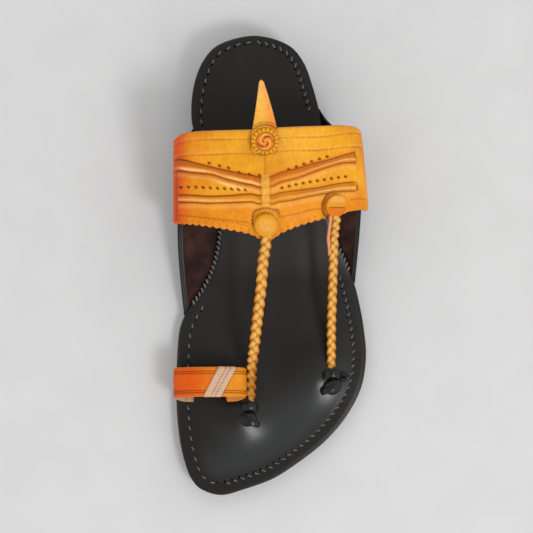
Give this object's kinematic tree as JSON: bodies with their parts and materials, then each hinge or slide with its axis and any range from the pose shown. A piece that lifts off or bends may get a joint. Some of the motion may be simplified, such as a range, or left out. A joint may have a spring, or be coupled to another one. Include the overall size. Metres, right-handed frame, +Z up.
{
  "type": "kolhapuri sandal",
  "caption": "Left-foot leather sandal with stacked heel, side ears, arched instep band, two braided straps and a toe ring.",
  "frame": {"origin": "centre of the heel's flat rest face on the floor", "axes": "+X towards the big-toe side, +Y from heel to toe, +Z up"},
  "size_m": [0.12, 0.28, 0.1044],
  "materials": {
    "insole_leather": "smooth satin black leather",
    "sole_leather": "black stained edge of sole leather",
    "ear_leather": "dark red-brown inside, black outside",
    "band_leather": "tooled orange leather, semi-gloss",
    "braid_leather": "braided amber leather strands",
    "thong_leather": "glossy black leather thong",
    "heel_rubber": "matt black rubber"
  },
  "bodies": {
    "root": {"heel_top_piece": "heel_rubber", "heel_lift_1": "sole_leather", "heel_lift_2": "sole_leather", "outsole": "sole_leather", "insole": "insole_leather", "ear_medial": "ear_leather", "ear_lateral": "ear_leather", "instep_band": "band_leather", "spike": "band_leather", "rosette": "band_leather", "button_centre": "band_leather", "button_lateral": "band_leather", "braid_centre": "braid_leather", "braid_lateral": "braid_leather", "toe_ring": "band_leather", "thong_centre": "thong_leather", "thong_lateral": "thong_leather", "knot_centre": "thong_leather", "knot_lateral": "thong_leather"}
  },
  "joints": []
}
